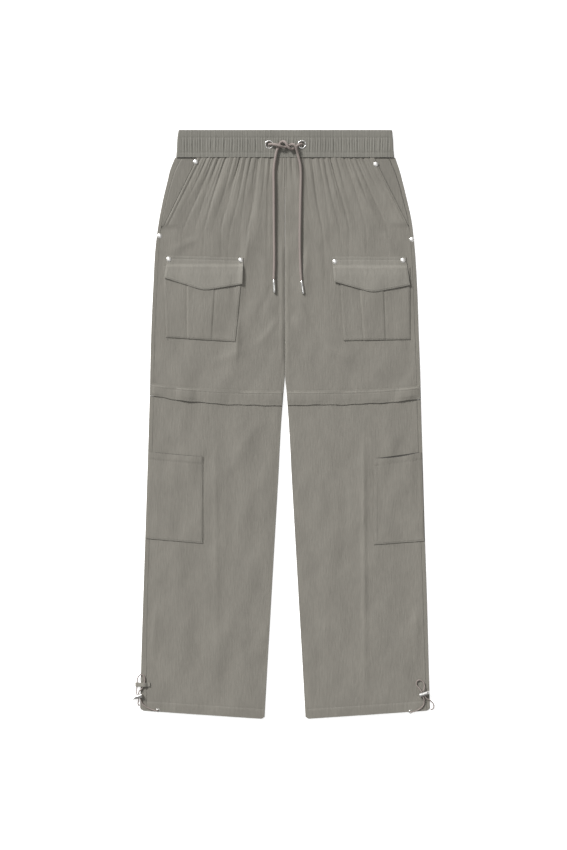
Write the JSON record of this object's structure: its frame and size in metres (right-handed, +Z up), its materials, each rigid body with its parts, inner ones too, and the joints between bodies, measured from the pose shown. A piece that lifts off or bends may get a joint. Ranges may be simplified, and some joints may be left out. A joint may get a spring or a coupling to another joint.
{
  "type": "zip-off trousers",
  "caption": "Wide-leg trousers laid flat, with a shirred waist, drawstring, flap pockets and lower legs that zip off under a cover at the knee.",
  "frame": {"origin": "under the middle of the laid garment, on the surface it lies on", "axes": "+X to the right over the laid front, +Y from the hems to the waist, +Z up out of the front"},
  "size_m": [0.5336, 1.0399, 0.0164],
  "materials": {
    "cloth": "crinkled matt nylon",
    "tape": "woven zip tape",
    "cord": "round braid",
    "metal": "polished"
  },
  "bodies": {
    "root": {"waistband": "cloth", "hem_tab_left": "cloth", "front_upper_left": "cloth", "front_upper_right": "cloth", "back_upper_left": "cloth", "back_upper_right": "cloth", "pocket_facing_left": "cloth", "pocket_facing_right": "cloth", "knee_flap_back_left": "cloth", "knee_flap_back_right": "cloth", "knee_flap_front_left": "cloth", "knee_flap_front_right": "cloth", "front_lower_left": "cloth", "front_lower_right": "cloth", "back_lower_left": "cloth", "back_lower_right": "cloth", "thigh_pocket_left": "cloth", "thigh_pocket_right": "cloth", "thigh_flap_left": "cloth", "thigh_flap_right": "cloth", "shin_pocket_left": "cloth", "shin_pocket_right": "cloth", "knee_zip_left": "tape", "knee_zip_right": "tape", "drawstring_left": "cord", "drawstring_right": "cord", "hem_cord_left": "cord", "hem_cord_right": "cord", "knee_slider_left": "metal", "knee_slider_right": "metal", "eyelet_left": "metal", "eyelet_right": "metal", "hem_eyelet_left": "metal", "hem_eyelet_right": "metal", "slant_rivet_top_left": "metal", "slant_rivet_top_right": "metal", "slant_rivet_low_left": "metal", "slant_rivet_low_right": "metal", "flap_rivet_outer_left": "metal", "flap_rivet_outer_right": "metal", "flap_rivet_inner_left": "metal", "flap_rivet_inner_right": "metal", "aglet_left": "metal", "aglet_right": "metal", "cord_lock_left": "metal", "cord_lock_right": "metal", "lock_plunger_left": "metal", "lock_plunger_right": "metal"}
  },
  "joints": []
}
